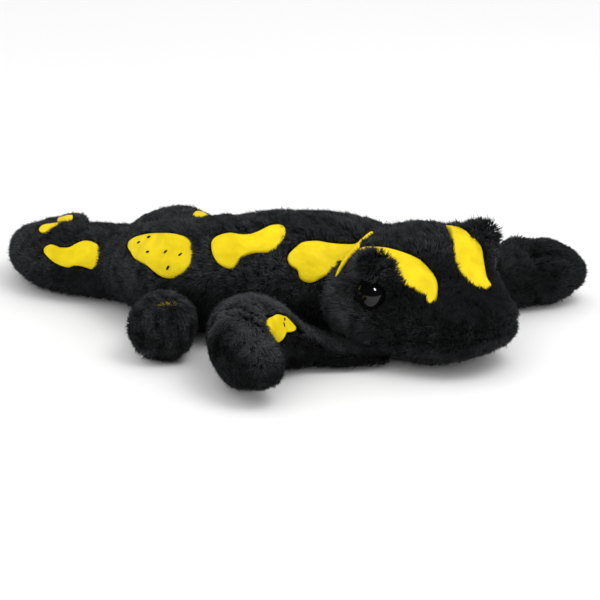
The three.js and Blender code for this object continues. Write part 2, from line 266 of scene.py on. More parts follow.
# The back sinks a little where the raised hind leg is sewn on beside it
body.fold([(0.34, 100), (0.326, 97), (0.314, 96), (0.302, 96), (0.292, 97), (0.284, 100)], 2.6, 11.0)

# The shank of each eye draws the cloth in all round its rim
EYE_RADIUS = 7.2  # mm
SHANK_PULL, SHANK_SPREAD = 2.0, 3.5  # depth and width of that hollow, mm
ring = 2 * np.pi * np.arange(60)[:, None] / 60
rim = EYE_RADIUS * np.hstack([np.cos(ring), 0 * ring, np.sin(ring)])
for side in (-1, 1):
    head.folds.append((turn_head(EYE_SEAT * [1, side, 1] + rim), SHANK_PULL, SHANK_SPREAD))


def make_piece(name, points, faces, finish):
    """A mesh object from points in mm and a list of face arrays, three or four corners wide."""
    mesh = bpy.data.meshes.new(name)
    mesh.vertices.add(len(points))
    mesh.vertices.foreach_set("co", (ORIGIN + MM * points).astype(np.float32).ravel())
    corners = np.concatenate([face.ravel() for face in faces]).astype(np.int32)
    widths = np.concatenate([np.full(len(face), face.shape[1]) for face in faces])
    mesh.loops.add(len(corners))
    mesh.loops.foreach_set("vertex_index", corners)
    mesh.polygons.add(len(widths))
    mesh.polygons.foreach_set("loop_start", (np.cumsum(widths) - widths).astype(np.int32))
    mesh.update(calc_edges=True)
    mesh.materials.append(finish)
    piece = bpy.data.objects.new(name, mesh)
    bpy.context.scene.collection.objects.link(piece)
    return piece


def closed_skin(rings, sides, first=0):
    """Faces of a closed ball-like grid whose points run ring by ring, then the two poles: quads
    between rings and a fan of triangles at each pole."""
    ring, side = np.meshgrid(np.arange(rings - 1), np.arange(sides), indexing="ij")
    after = (side + 1) % sides
    quads = np.stack([ring * sides + side, ring * sides + after,
                      (ring + 1) * sides + after, (ring + 1) * sides + side], -1).reshape(-1, 4)
    turn = np.arange(sides)
    after = (turn + 1) % sides
    last = (rings - 1) * sides
    fans = np.concatenate([
        np.stack([after, turn, np.full(sides, rings * sides)], -1),
        np.stack([last + turn, last + after, np.full(sides, rings * sides + 1)], -1)])
    return [quads + first, fans + first]


def tube_skin(tube, rings, sides):
    """Points of a tube's ground in closed_skin's order, with its rings halfway between evenly
    spaced and crowded to the ends as (1 - cos) / 2, and nothing below the pressed pile."""
    turn = np.pi * (np.arange(rings) + 1) / (rings + 1)
    along = np.repeat(0.5 * turn / np.pi + 0.25 * (1 - np.cos(turn)), sides)
    around = np.tile(2 * np.pi * np.arange(sides) / sides, rings)
    points = tube.ground(np.append(along, [0.0, 1.0]), np.append(around, [0.0, 0.0]))
    points[:, 2] = np.maximum(points[:, 2], PRESSED)
    return points


class Wire:
    """A value in a material. Operators on wires and numbers add its Math nodes."""

    def __init__(self, finish, socket):
        self.finish, self.socket = finish, socket

    def math(self, operation, *inputs):
        node = self.finish.add("ShaderNodeMath", {"operation": operation}, dict(enumerate(inputs)))
        return Wire(self.finish, node.outputs[0])

    def __add__(self, other): return self.math("ADD", self, other)
    def __radd__(self, other): return self.math("ADD", other, self)
    def __mul__(self, other): return self.math("MULTIPLY", self, other)
    def __rmul__(self, other): return self.math("MULTIPLY", other, self)

    def step(self, low, high):
        """0 below low, 1 above high and smooth between; low above high turns it over."""
        node = self.finish.add("ShaderNodeMapRange", {"interpolation_type": "SMOOTHSTEP"},
                               {"Value": self, "From Min": low, "From Max": high})
        return Wire(self.finish, node.outputs["Result"])


class Finish:
    """A material: one Principled shader, with its sockets set from wires, colours and numbers."""

    def __init__(self, name):
        self.material = bpy.data.materials.new(name)
        self.material.use_nodes = True
        self.tree = self.material.node_tree
        self.shader = self.tree.nodes["Principled BSDF"]

    def add(self, kind, settings=None, sockets=None):
        """A node of a kind, with its settings made first and then its sockets' values or links."""
        node = self.tree.nodes.new(kind)
        for key, value in (settings or {}).items():
            setattr(node, key, value)
        self.set(node, sockets or {})
        return node

    def set(self, node, sockets):
        for key, value in sockets.items():
            if isinstance(value, Wire):
                self.tree.links.new(value.socket, node.inputs[key])
            else:
                node.inputs[key].default_value = value

    def wire(self, kind, output, settings=None, sockets=None):
        """One output of a new node."""
        return Wire(self, self.add(kind, settings, sockets).outputs[output])

    def noise(self, size, detail=2.0):
        """Soft random patches about size mm across, from 0 to 1."""
        return self.wire("ShaderNodeTexNoise", "Fac", sockets={
            "Vector": self.wire("ShaderNodeTexCoord", "Object"), "Scale": 1 / MM / size, "Detail": detail})

    def mix(self, share, first, second):
        """The first colour at share 0, the second at share 1."""
        node = self.add("ShaderNodeMix", {"data_type": "RGBA"}, {"Factor": share})
        self.set(node, {6: first, 7: second})
        return Wire(self, node.outputs[2])

    def bump(self, height, depth):
        """A relief of depth mm at height 1."""
        return self.wire("ShaderNodeBump", "Normal", sockets={"Height": height, "Distance": depth * MM})


INK = (0.0042, 0.0044, 0.0048, 1.0)  # the black of the pile and its ground, also the painted shade deep in the pile
KNIT = (0.014, 0.0145, 0.015, 1.0)  # the ground at its lightest
ground = Finish("plush_ground")
ground.set(ground.shader, {
    "Base Color": ground.mix(ground.noise(2.2, 3.0).step(0.35, 0.7), INK, KNIT),
    "Roughness": 0.9, "Specular IOR Level": 0.1,
    "Normal": ground.bump(ground.noise(0.9, 3.0), 0.8)})

points, faces, count = [], [], 0
for tube, rings, sides in [(body, 220, 96), (head, 180, 150), *[(leg, 90, 80) for leg in legs.values()]]:
    shell = tube_skin(tube, rings, sides)
    points.append(shell)
    faces += closed_skin(rings, sides, count)
    count += len(shell)
shells = make_piece("shells", np.vstack(points), faces, ground.material)
fuse = shells.modifiers.new("fuse", "REMESH")
fuse.mode, fuse.voxel_size = "VOXEL", VOXEL * MM
ease = shells.modifiers.new("ease", "SMOOTH")
ease.factor, ease.iterations = 0.5, 3
fused = bpy.data.meshes.new_from_object(shells.evaluated_get(bpy.context.evaluated_depsgraph_get()))
bpy.data.objects.remove(shells)
fused.name = "skin"
fused.shade_smooth()
skin = bpy.data.objects.new("skin", fused)
bpy.context.scene.collection.objects.link(skin)
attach(skin, "root")
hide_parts("head", "chin", "shoulders", "trunk", "hips", "tail_base", "tail_middle", "tail_curl",
            "tail_tip", *legs, *[name.replace("leg", "foot") for name in legs])

# ---------------------------------------------------------------------------
# The yellow patches. Smooth woven polyester, cut out in rounded shapes and sewn into the plush
# edge to edge, so that the filling puffs them up to the level of the pile around them. The
# two long ones run from the nape over the brows and down in front of the eyes.

CLOTH_TOP = -0.6  # the cloth's crown against the tips of the pile, mm
CLOTH_RIM = -2.0  # its sewn rim, mm
CLOTH_BACK = -4.4  # its hidden underside, mm
CLOTH_DROP = {"patch_hindleg_right": 1.3}  # how far the pile nearly closes over one, mm
CLOTH_PLATEAU = 14  # power that keeps the crown flat and its rim round
CLOTH_WAVE, CLOTH_WAVE_SIZE = 0.35, 13.0  # height and spacing of the soft ripples over it, mm

# Outlines as pairs of share along the tube and degrees round it, from one end of the patch
# round to the other and back
SHOULDER = [(0.221, 33), (0.217, 25), (0.206, 21), (0.199, 13), (0.183, 10), (0.16, 15), (0.125, 24),
            (0.092, 38), (0.073, 54), (0.068, 70), (0.085, 60), (0.1, 53), (0.118, 51), (0.136, 50),
            (0.155, 50), (0.175, 51), (0.196, 49), (0.212, 42)]
BACK = [(0.293, 42), (0.291, 54), (0.279, 59), (0.264, 57), (0.252, 60), (0.24, 69), (0.229, 69),
        (0.224, 60), (0.227, 49), (0.238, 38), (0.253, 37), (0.263, 32), (0.27, 21), (0.285, 26)]
HIP = [(0.412, 42), (0.406, 56), (0.385, 59), (0.36, 59), (0.332, 58), (0.316, 51), (0.31, 38),
       (0.309, 24), (0.318, 13), (0.334, 8), (0.353, 18), (0.386, 26)]
TAIL = [(0.596, 26), (0.588, 38), (0.573, 35), (0.56, 36), (0.546, 45), (0.53, 50), (0.511, 45),
        (0.497, 30), (0.499, 14), (0.511, 2), (0.531, 5), (0.548, 5), (0.562, 1), (0.582, 9)]
CURL = [(0.608, 58), (0.6, 64), (0.597, 76), (0.6, 96), (0.612, 108), (0.628, 100), (0.636, 80),
        (0.626, 64)]
TIP = [(0.84, 118), (0.862, 100), (0.9, 88), (0.942, 94), (0.924, 120), (0.88, 138)]
STRIPE_RIGHT = [(0.235, 52), (0.29, 61), (0.334, 68), (0.385, 74), (0.441, 80), (0.515, 83), (0.58, 81),
                (0.64, 73), (0.664, 59), (0.612, 63), (0.561, 61), (0.505, 53), (0.455, 53),
                (0.408, 55), (0.36, 51), (0.29, 48)]
STRIPE_LEFT = [(0.235, 54), (0.29, 62), (0.338, 71), (0.4, 76), (0.47, 80), (0.53, 81), (0.592, 77),
               (0.646, 72), (0.672, 61), (0.648, 50), (0.596, 51), (0.529, 50), (0.47, 51),
               (0.422, 56), (0.37, 60), (0.3, 57)]
FORELEG = [(0.432, 37), (0.455, 44), (0.49, 46), (0.545, 43), (0.64, 41), (0.74, 40), (0.83, 50),
           (0.85, 36), (0.822, 17), (0.745, -3), (0.66, 3), (0.485, 16)]
HIDDEN = [(0.27, 128), (0.33, 115), (0.4, 117), (0.44, 132), (0.41, 150), (0.33, 152)]
HINDLEG = [(0.89, 96), (0.87, 76), (0.81, 60), (0.745, 52), (0.69, 56), (0.72, 67), (0.79, 75),
           (0.845, 86)]
RAISED = [(0.17, 100), (0.21, 86), (0.27, 94), (0.325, 112), (0.29, 125), (0.22, 120)]


def mirrored(outline):
    """The same outline on the other side of the tube."""
    return [(along, 180 - angle) for along, angle in outline]


PATCHES = {
    "patch_shoulder_right": (body, SHOULDER), "patch_shoulder_left": (body, mirrored(SHOULDER)),
    "patch_back_right": (body, BACK), "patch_back_left": (body, mirrored(BACK)),
    "patch_hip_right": (body, HIP),
    "patch_tail_right": (body, TAIL), "patch_tail_left": (body, mirrored(TAIL)),
    "patch_tail_curl": (body, CURL), "patch_tail_tip": (body, TIP),
    "stripe_right": (head, mirrored(STRIPE_RIGHT)), "stripe_left": (head, STRIPE_LEFT),
    "patch_foreleg_right": (legs["foreleg_right"], FORELEG),
    "patch_foreleg_left": (legs["foreleg_left"], HIDDEN),
    "patch_hindleg_right": (legs["hindleg_right"], HINDLEG),
    "patch_hindleg_left": (legs["hindleg_left"], RAISED),
}


def ripple(points, size, seed):
    """Smooth wandering values from about -1 to 1: twice the mean of six sine waves of wavelength
    near size mm, in random directions fixed by the seed."""
    rng = np.random.default_rng(seed)
    ways = rng.normal(size=(6, 3))
    ways *= (2 * np.pi / (size * rng.uniform(0.7, 1.4, 6)) / np.linalg.norm(ways, axis=1))[:, None]
    return 2 * np.sin(points @ ways.T + rng.uniform(0, 2 * np.pi, 6)).mean(axis=-1)


def closed_through(outline, share):
    """The closed smooth curve through an outline's corners, in shares and radians: the same
    cubic steps as the spine's, going round."""
    corners = np.array(outline, float) * [1, np.pi / 180]
    ring = np.vstack([corners[-2:], corners, corners[:3]])
    return through(ring, (np.asarray(share) % 1.0 * len(corners) + 2) / (len(ring) - 1))[0]


def patch_cloth(tube, outline, drop=0.0, rings=64, sides=72):
    """A closed pad: at each share of its length a chord runs between the outline's two edges,
    and the section goes round it, over the crown and back under. The height between rim and
    crown follows 1 - (2 share - 1)^CLOTH_PLATEAU both ways, and soft ripples run over the
    crown. The drop lowers the crown into the pile."""
    turn = np.pi * (np.arange(rings) + 1) / (rings + 1)
    length = (0.5 - 0.5 * np.cos(turn))[:, None]
    around = 2 * np.pi * np.arange(sides)[None] / sides
    across = 0.5 - 0.5 * np.cos(around)
    one, other = closed_through(outline, length / 2), closed_through(outline, 1 - length / 2)
    place = one + (other - one) * across[..., None]
    plateau = (1 - (2 * length - 1) ** CLOTH_PLATEAU) * (1 - (2 * across - 1) ** CLOTH_PLATEAU)
    wave = ripple(tube.at(place[..., 0], place[..., 1]), CLOTH_WAVE_SIZE, 21)
    crown = CLOTH_TOP - drop + CLOTH_WAVE * wave
    lift = CLOTH_RIM + (np.where(np.sin(around) > 1e-6, crown, CLOTH_BACK) - CLOTH_RIM) * plateau
    shell = tube.at(place[..., 0], place[..., 1], lift).reshape(-1, 3)
    ends = closed_through(outline, np.array([0.0, 0.5]))
    points = np.vstack([shell, tube.at(ends[:, 0], ends[:, 1], CLOTH_RIM)])
    return points, closed_skin(rings, sides)


YELLOW_PAINTED_SHADE = (0.69, 0.515, 0.005, 1.0)  # painted shade in the creases
YELLOW_HIGH = (0.8, 0.61, 0.008, 1.0)  # the cloth's own yellow, between them
cloth = Finish("patch_cloth")
# The same soft creases give the cloth its relief and the painted shade in them
crease = cloth.noise(9.0)
weave = cloth.noise(0.5, 1.0)
cloth.set(cloth.shader, {
    "Base Color": cloth.mix(crease.step(0.3, 0.7), YELLOW_PAINTED_SHADE, YELLOW_HIGH),
    "Roughness": 0.6, "Specular IOR Level": 0.08,
    "Normal": cloth.bump(crease + weave * 0.04, 2.0)})
for name, (tube, outline) in PATCHES.items():
    points, faces = patch_cloth(tube, outline, CLOTH_DROP.get(name, 0.0))
    pad = make_piece(name + "_cloth", points, faces, cloth.material)
    pad.data.shade_smooth()
    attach(pad, "root")
    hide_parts(name)

# Where the shoulder patch meets the right stripe in the fold of the neck, the two seam edges
# stand up as a pair of narrow welts: small tubes whose spines run just over the pile
WELT_WIDTH, WELT_HEIGHT = 1.1, 1.2  # half its width and half its height, mm
WELT_LIFT = 0.7  # its spine over the tips of the pile, mm
WELT_ROWS, WELT_SIDES = 40, 16
WELTS = [
    body.at([0.106, 0.1, 0.092, 0.084, 0.074, 0.068], np.radians([27, 33, 44, 53, 62, 71]), WELT_LIFT),
    head.at([0.23, 0.236, 0.243, 0.249, 0.243, 0.236], np.radians([157, 149, 141, 134, 129, 126]),
            WELT_LIFT)]
for name, spine in zip(("outer", "inner"), WELTS):
    size = np.tile([WELT_WIDTH, WELT_HEIGHT, WELT_HEIGHT], (len(spine), 1))
    welt = Tube(np.hstack([spine, size]), 0.5, 0.15)
    row = np.linspace(0.004, 0.996, WELT_ROWS)[:, None]
    turn = 2 * np.pi * np.arange(WELT_SIDES)[None] / WELT_SIDES
    points = np.vstack([welt.at(row, turn).reshape(-1, 3), welt.at([0.0, 1.0], [0.0, 0.0])])
    edge = make_piece("neck_welt_" + name, points, closed_skin(WELT_ROWS, WELT_SIDES), cloth.material)
    edge.data.shade_smooth()
    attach(edge, "root")

# ---------------------------------------------------------------------------
# The black stitches. Short slanted dashes of thick black thread, sewn through the hip patch and
# the patch on the right foreleg, each a few strands laid side by side.

STITCH_LENGTH, STITCH_WIDTH, STITCH_HEIGHT = 2.7, 1.3, 0.8  # mm
STITCH_RINGS, STITCH_SIDES = 7, 10
# Share along the piece, degrees round it and slant in degrees of each dash
STITCHES = [
    (body, [(0.382, 44, 20), (0.364, 51, 15), (0.33, 48, 25), (0.354, 33, 10), (0.334, 35, 45),
            (0.32, 33, 40), (0.33, 19, 60)]),
    (legs["foreleg_right"], [(0.55, 33, 50), (0.62, 22, 75)]),
]


def ball(rings, sides):
    """Points of a ball of radius 1 in closed_skin's order, about the x axis from 1 to -1: the
    cosine of the turn, and its sine times the cosine and sine of the angle around."""
    turn = (np.pi * (np.arange(rings) + 1) / (rings + 1))[:, None]
    around = 2 * np.pi * np.arange(sides)[None] / sides
    shell = np.stack([np.cos(turn) + 0 * around, np.sin(turn) * np.cos(around),
                      np.sin(turn) * np.sin(around)], -1).reshape(-1, 3)
    return np.vstack([shell, [[1, 0, 0], [-1, 0, 0]]])


def stitch(tube, along, degrees, slant):
    """A long ball laid on the cloth, its axis turned by the slant from the way back along the
    tube up over it."""
    dash = ball(STITCH_RINGS, STITCH_SIDES) * [STITCH_LENGTH / 2, STITCH_WIDTH / 2, STITCH_HEIGHT / 2]
    angle, slant, small = np.radians(degrees), np.radians(slant), 1e-3
    back = unit(tube.at(along - small, angle) - tube.at(along + small, angle))
    over = unit(tube.at(along, angle + small) - tube.at(along, angle - small))
    axis = back * np.cos(slant) + over * np.sin(slant)
    out = unit(np.cross(over, -back))
    return tube.at(along, angle, CLOTH_TOP) + dash @ np.stack([axis, np.cross(out, axis), out])


BLACK, WORN_BLACK = (0.004, 0.004, 0.004, 1.0), (0.014, 0.014, 0.014, 1.0)
thread = Finish("stitch_thread")
thread.set(thread.shader, {
    "Base Color": thread.mix(thread.noise(0.6), BLACK, WORN_BLACK),
    "Roughness": 0.8, "Specular IOR Level": 0.2,
    "Normal": thread.bump(thread.noise(0.35), 0.2)})
dashes = [stitch(tube, *place) for tube, places in STITCHES for place in places]
faces = [face for number in range(len(dashes))
         for face in closed_skin(STITCH_RINGS, STITCH_SIDES, number * len(dashes[0]))]
stitches = make_piece("stitches", np.vstack(dashes), faces, thread.material)
stitches.data.shade_smooth()
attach(stitches, "root")

# ---------------------------------------------------------------------------
# The eyes. Domed black safety eyes, moulded plastic with a high gloss, pushed through the plush
# on a shank and held by a washer inside the head, so that the pile stands round their rims.

EYE_SQUASH = 0.92  # the dome's depth for its width
EYE_SUNK = {-1: 0.0, 1: 1.2}  # how much further in the left eye's shank is pulled, mm
eye_plastic = Finish("eye_plastic")
eye_plastic.set(eye_plastic.shader, {
    "Base Color": (0.003, 0.003, 0.0035, 1.0),
    "Roughness": eye_plastic.noise(3.0) * 0.03 + 0.04,
    "Specular IOR Level": 0.33})


def eye_dome(side, rings=40, sides=64):
    """A ball squashed along its own axis, which points out to the side. The left one is a mirror
    image, so its faces are turned back out."""
    points = ball(rings, sides)[:, [1, 0, 2]] * [1, side * EYE_SQUASH, 1]
    faces = closed_skin(rings, sides)
    if side > 0:
        faces = [face[:, ::-1] for face in faces]
    return turn_head(points * EYE_RADIUS + EYE_SEAT * [1, side, 1] - [0, EYE_SUNK[side], 0]), faces


for name, side in (("eye_right", -1), ("eye_left", 1)):
    eye = make_piece(name + "_dome", *eye_dome(side), eye_plastic.material)
    eye.data.shade_smooth()
    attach(eye, "root")
    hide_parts(name)

# ---------------------------------------------------------------------------
# The pile. Short dense polyester fibre, brushed from the nose to the tail and down the legs, in
# fine locks that bend over as they rise. It stands up round every patch and eye, is longest in
# the tufts over the brows, and is pressed flat where the toy lies on it.

LOCKS_PER_MM2 = 3.6
UNDERNEATH = 0.35  # the part of them that is left where the pile faces the floor
LOCK_WIDTH = 0.22  # half of a lock's thickness at its widest, mm
LOCK_ROOT = 0.5  # how far it goes into the ground, mm
LOWEST = 0.15  # height over the floor that no lock goes under, mm
LEAN = 3.2  # how far a lock lies over along the body, mm
CLUMP = 2.4  # spacing of the points that locks draw together to, mm
CLUMP_GIRTH = 25.0  # mm that a radian round a piece counts for in that spacing
RIM_GAP = 0.25  # distance of the first locks from a patch's rim, mm
RIM_REACH = 8  # distance round a patch's box within which its rim is measured, mm
# How far in over a patch's rim the pile grows, or less than 0 where it keeps further off it, mm
COVER = {"patch_hindleg_right": 6.5, "patch_foreleg_right": -1.2, "stripe_left": -0.6}
EYE_GAP, EYE_SPREAD = 0.3, 3.0  # bare ring round an eye, and the ring in which pile stands up, mm
LID = (0.75, -0.6, 0.3)  # side of the left eye, in the unturned head, where pile closes over its rim
WELT_GAP, WELT_SPREAD = 2.4, 4.5  # the same two distances from a welt's spine, mm
BURIED = 0.97  # depth in another piece from which no pile grows
TUCKED = [(head, body), (body, legs["hindleg_left"])]  # the first one's pile goes in under the second
TUCK = 1.0  # and stops this far inside its outline, mm, not at its ground
NONE_NEAR = 99.0  # distance to a rim where there is none, mm
MAP_PATCH = 0.003  # side of the square that each lock has in the map
# Grain in mm and seed of each ripple that makes the pile uneven
GRAIN = {"cover": (5.0, 31), "height": (7.0, 11), "swing": (17.0, 12), "swirl": (5.0, 13),
         "lean": (6.0, 14), "clump along": (9.0, 15), "clump around": (9.0, 16), "light": (8.0, 17),
         "speck": (3.5, 18)}


def scattered(values, salt):
    """One fixed random number from 0 to 1 for each whole-number row: the fraction left of a
    large multiple of a sine."""
    return np.modf(np.abs(np.sin(values @ [12.9898, 78.233] + salt) * 43758.5453))[0]


def rim_distance(tube, outline, along, around):
    """Distance in mm from places on a tube to a patch's rim, less than 0 inside it: the nearest
    of its edges in the flat, with the sign from counting the edges to one side."""
    edge = closed_through(outline, np.arange(120) / 120)
    middle = (edge.min(0) + edge.max(0)) / 2
    small = 1e-3
    scale = np.array([np.linalg.norm(tube.at(*(middle + way)) - tube.at(*(middle - way))) / (2 * small)
                      for way in small * np.eye(2)])
    around = middle[1] + (around - middle[1] + np.pi) % (2 * np.pi) - np.pi
    spots, ring = np.stack([along, around], -1) * scale, edge * scale
    distance = np.full(len(spots), NONE_NEAR)
    reach = (ring.max(0) - ring.min(0)) / 2 + RIM_REACH
    near = np.flatnonzero((np.abs(spots - middle * scale) < reach).all(axis=1))
    start, end = ring, np.roll(ring, -1, axis=0)
    side = end - start
    away = spots[near, None] - start
    share = np.clip((away * side).sum(-1) / (side ** 2).sum(-1), 0, 1)
    gap = np.linalg.norm(away - share[..., None] * side, axis=-1).min(axis=1)
    y = spots[near, 1, None]
    crosses = (start[:, 1] > y) != (end[:, 1] > y)
    with np.errstate(divide="ignore", invalid="ignore"):
        beyond = spots[near, 0, None] < start[:, 0] + (y - start[:, 1]) * side[:, 0] / side[:, 1]
    inside = (crosses & beyond).sum(axis=1) % 2 == 1
    distance[near] = np.where(inside, -gap, gap)
    return distance


def roots(tube, start, end, rng):
    """Places spread evenly over a stretch of the tube, by the area of each small cell of it, and
    thinner underneath, where the pile is pressed flat."""
    rows, columns = np.linspace(start, end, 141), np.linspace(-np.pi, np.pi, 129)
    row, column = np.meshgrid((rows[1:] + rows[:-1]) / 2, (columns[1:] + columns[:-1]) / 2, indexing="ij")
    small = 1e-3
    lengthwise = tube.at(row + small, column) - tube.at(row - small, column)
    crosswise = tube.at(row, column + small) - tube.at(row, column - small)
    normal = np.cross(crosswise, lengthwise)
    size = np.linalg.norm(normal, axis=-1)
    area = size / (2 * small) ** 2 * (rows[1] - rows[0]) * (columns[1] - columns[0])
    area = area * np.where(normal[..., 2] < -0.6 * size, UNDERNEATH, 1.0)
    cell = rng.choice(area.size, int(area.sum() * LOCKS_PER_MM2), p=area.ravel() / area.sum())
    jitter = rng.uniform(-0.5, 0.5, (2, len(cell)))
    return (row.ravel()[cell] + jitter[0] * (rows[1] - rows[0]),
            column.ravel()[cell] + jitter[1] * (columns[1] - columns[0]))


def parting(point):
    """How the pile parts round the eyes and the welts: where a lock may grow, the way it is
    pushed, and how much it is pushed, a bell curve of its distance to the eye or the welt."""
    free, push, pushed = np.ones(len(point), bool), np.zeros((len(point), 3)), np.zeros(len(point))
    for side in (-1, 1):
        offset = point - turn_head(EYE_SEAT * [1, side, 1])
        away = np.linalg.norm(offset, axis=1)
        free &= away > EYE_RADIUS + EYE_GAP
        near = np.exp(-(np.maximum(away - EYE_RADIUS, 0) / EYE_SPREAD) ** 2)
        near *= 1 - 1.3 * (side > 0) * np.clip(unit(offset) @ turn_head(LID) * 1.5, 0, 1)
        push += near[:, None] * unit(offset)
        pushed += near
    for line in WELTS:
        line = through(line, np.linspace(0, 1, 60))[0]
        nearest = line[np.argmin((line ** 2).sum(1) - 2 * point @ line.T, axis=1)]
        away = np.linalg.norm(point - nearest, axis=1)
        free &= away > WELT_GAP
        near = np.exp(-(away / WELT_SPREAD) ** 2)
        push += 2 * near[:, None] * unit(point - nearest)
        pushed += 0.5 * near
    return free, push, pushed


def clumps(tube, point, along, around):
    """The clump that each lock belongs to, as the row and column of its cell, and the way to its
    centre in cells. Cells stand in a brick pattern of the tube's length and girth, bent by
    ripples, and each centre is at a random place in its cell."""
    flat = np.stack([along * tube.length, around * CLUMP_GIRTH], -1) / CLUMP
    flat += 0.7 * np.stack([ripple(point, *GRAIN["clump along"]), ripple(point, *GRAIN["clump around"])], -1)
    row = np.floor(flat[:, 0])
    cell = np.stack([row, np.floor(flat[:, 1] + 0.5 * (row % 2))], -1)
    centre = np.stack([cell[:, 0] + scattered(cell, 1.0),
                       cell[:, 1] - 0.5 * (row % 2) + scattered(cell, 2.0)], -1)
    return cell, centre - flat


def locks(tube, start, end, seed):
    """Points, faces, map places and shades of a stretch of pile. Each lock is a closed spindle: a
    root, three corners round its bend and a tip. The tip stands the pile's depth off the
    ground and lies over by LEAN, turned by slow ripples, and drawn to its clump's centre."""
    rng = np.random.default_rng(seed)
    along, around = roots(tube, start, end, rng)
    point = tube.ground(along, around)
    keep, push, pushed = parting(point)
    for other in (body, head, *legs.values()):
        if other is not tube:
            keep &= other.depth(point, -TUCK if (tube, other) in TUCKED else -PILE) > BURIED
    rim = np.full(len(point), NONE_NEAR)
    for name, (patch_tube, outline) in PATCHES.items():
        if patch_tube is tube:
            cover = COVER.get(name, 0.0) * (1 + 0.6 * ripple(point, *GRAIN["cover"]))
            rim = np.minimum(rim, rim_distance(tube, outline, along, around) + cover)
    keep &= rim > RIM_GAP
    along, around, rim, push, pushed = (row[keep] for row in (along, around, rim, push, pushed))

    # It is combed from nose to tail, so against the head's spine, and lies in the surface
    point, normal, lie = tube.dressing(along, around)
    combing = -1.0 if tube is head else 1.0
    upright = 1 - np.linalg.norm(lie, axis=1)
    push -= (push * normal).sum(1, keepdims=True) * normal
    lie = unit(combing * unit(lie) * (1 - 0.7 * np.abs(pushed[:, None])) + push)
    across = np.cross(lie, normal)
    tuft = tube.swell(along, around) / BROW_HEIGHT if tube.swell else 0.0 * along
    cell, inward = clumps(tube, point, along, around)
    draw = inward * CLUMP * combing
    edge = np.minimum(np.linalg.norm(inward, axis=1) / 0.7, 1)

    # One lock in twenty stands up out of the rest. The pile is lower at an eye, at a rim and at
    # the edge of a clump. It bends over less on a rounded end and in a tuft, and next to a rim
    # it can't reach over the cloth
    near_rim = np.clip((rim - 0.2) / 3.0, 0, 1)
    stray = 1 + 0.3 * (rng.uniform(0, 1, len(point)) < 0.05)
    height = stray * (1 - 0.6 * pushed) * tube.pile(along, around) * (
        tube.reach + 0.08 * ripple(point, *GRAIN["height"]) + 0.12 * (scattered(cell, 3.0) - 0.5)
        - 0.08 * edge + rng.uniform(-0.16, 0.1, len(point)) - 0.12 * (1 - near_rim))
    lean = LEAN * tube.lie * rng.uniform(0.6, 1.3, len(point)) * (1 + 0.3 * ripple(point, *GRAIN["lean"]))
    lean *= (1 - 0.5 * upright) * (1 - 0.4 * tuft)
    lean = np.minimum(lean, 0.8 + np.maximum(rim, 0) + 0.5 * tuft)
    swing = (0.9 * ripple(point, *GRAIN["swing"]) + 0.8 * ripple(point, *GRAIN["swirl"])
             + rng.normal(0, 0.4, len(point)) * (1 + 0.4 * tuft + 2 * upright))
    flow = lie * np.cos(swing)[:, None] + across * np.sin(swing)[:, None]
    gather = 0.35 * near_rim[:, None] * (draw[:, :1] * lie + draw[:, 1:] * across)

    # The spindle's widest place is a third of the way over and more than half of the way up
    root = point - LOCK_ROOT * normal
    bend = point + 0.34 * lean[:, None] * flow + 0.58 * height[:, None] * normal + 0.55 * gather
    tip = point + lean[:, None] * flow + height[:, None] * normal + gather
    ahead = unit(tip - root)
    one = unit(np.cross(ahead, across))
    two = np.cross(ahead, one)
    width = LOCK_WIDTH * rng.uniform(0.75, 1.3, (len(point), 1))
    corners = [bend + width * (np.cos(turn) * one + np.sin(turn) * two)
               for turn in (0, 2 * np.pi / 3, 4 * np.pi / 3)]
    points = np.stack([root, *corners, tip], axis=1).reshape(-1, 3)
    points[:, 2] = np.maximum(points[:, 2], LOWEST)
    spindle = np.array([[0, 2, 1], [0, 3, 2], [0, 1, 3], [1, 2, 4], [2, 3, 4], [3, 1, 4]])
    faces = (5 * np.arange(len(root))[:, None, None] + spindle).reshape(-1, 3)

    # In the map a lock is a small square at its share of the girth and of the stretch
    patch = MAP_PATCH * np.array([[0, 0], [1, 0], [0.5, 0.5], [0, 1], [1, 1]])
    share = (along - start) / (end - start)
    girth = (around + np.pi) / (2 * np.pi)
    place = (1 - MAP_PATCH) * np.stack([girth, share], -1)[:, None] + patch

    # Painted shade and light: its root is dark, the painted shade deep in the pile, and its tip lightest,
    #     # painted light on the tips, a few tips far more than the rest. The gaps between clumps get less of
    #     it, as painted shade
    tone = 1.2 * rng.uniform(0, 1, len(root)) ** 4 + 0.15 * scattered(cell, 4.0) * (1 - 0.5 * edge)
    # Painted light and shade by place and by the way the ground faces: lighter or darker as the light falls
    # on the pile and glances off it
    painted_light_and_shade = (np.interp(along, [0.25, 0.5], tube.bloom)
              * np.interp(normal[:, 2], [-0.3, 0.3, 1.0], tube.facing))
    mottled = ripple(point, *GRAIN["light"]) + 0.8 * ripple(point, *GRAIN["speck"])
    painted_light_and_shade *= np.maximum(1 + tube.mottle * mottled, 0)
    shade = painted_light_and_shade[:, None] * np.stack([0.0 * tone, *[0.08 + 0.3 * tone] * 3, 0.25 + 0.75 * tone], axis=1)
    return points, faces, place.reshape(-1, 2), np.clip(shade, 0, 1).ravel()


SLATE = (0.1, 0.105, 0.11, 1.0)  # pile where it catches the light
plush = Finish("plush_pile")
# The shade attribute holds each lock's painted light and shade, from the dark root to the lit tip
catch = plush.wire("ShaderNodeAttribute", "Fac", {"attribute_name": "shade"})
wear = plush.noise(26.0)
plush.set(plush.shader, {
    "Base Color": plush.mix(catch * (0.75 + 0.5 * wear.step(0.3, 0.7)), INK, SLATE),
    "Roughness": 0.6, "Specular IOR Level": 0.05,
    "Sheen Weight": 0.03, "Sheen Roughness": 0.45, "Sheen Tint": (0.85, 0.92, 1.0, 1.0)})

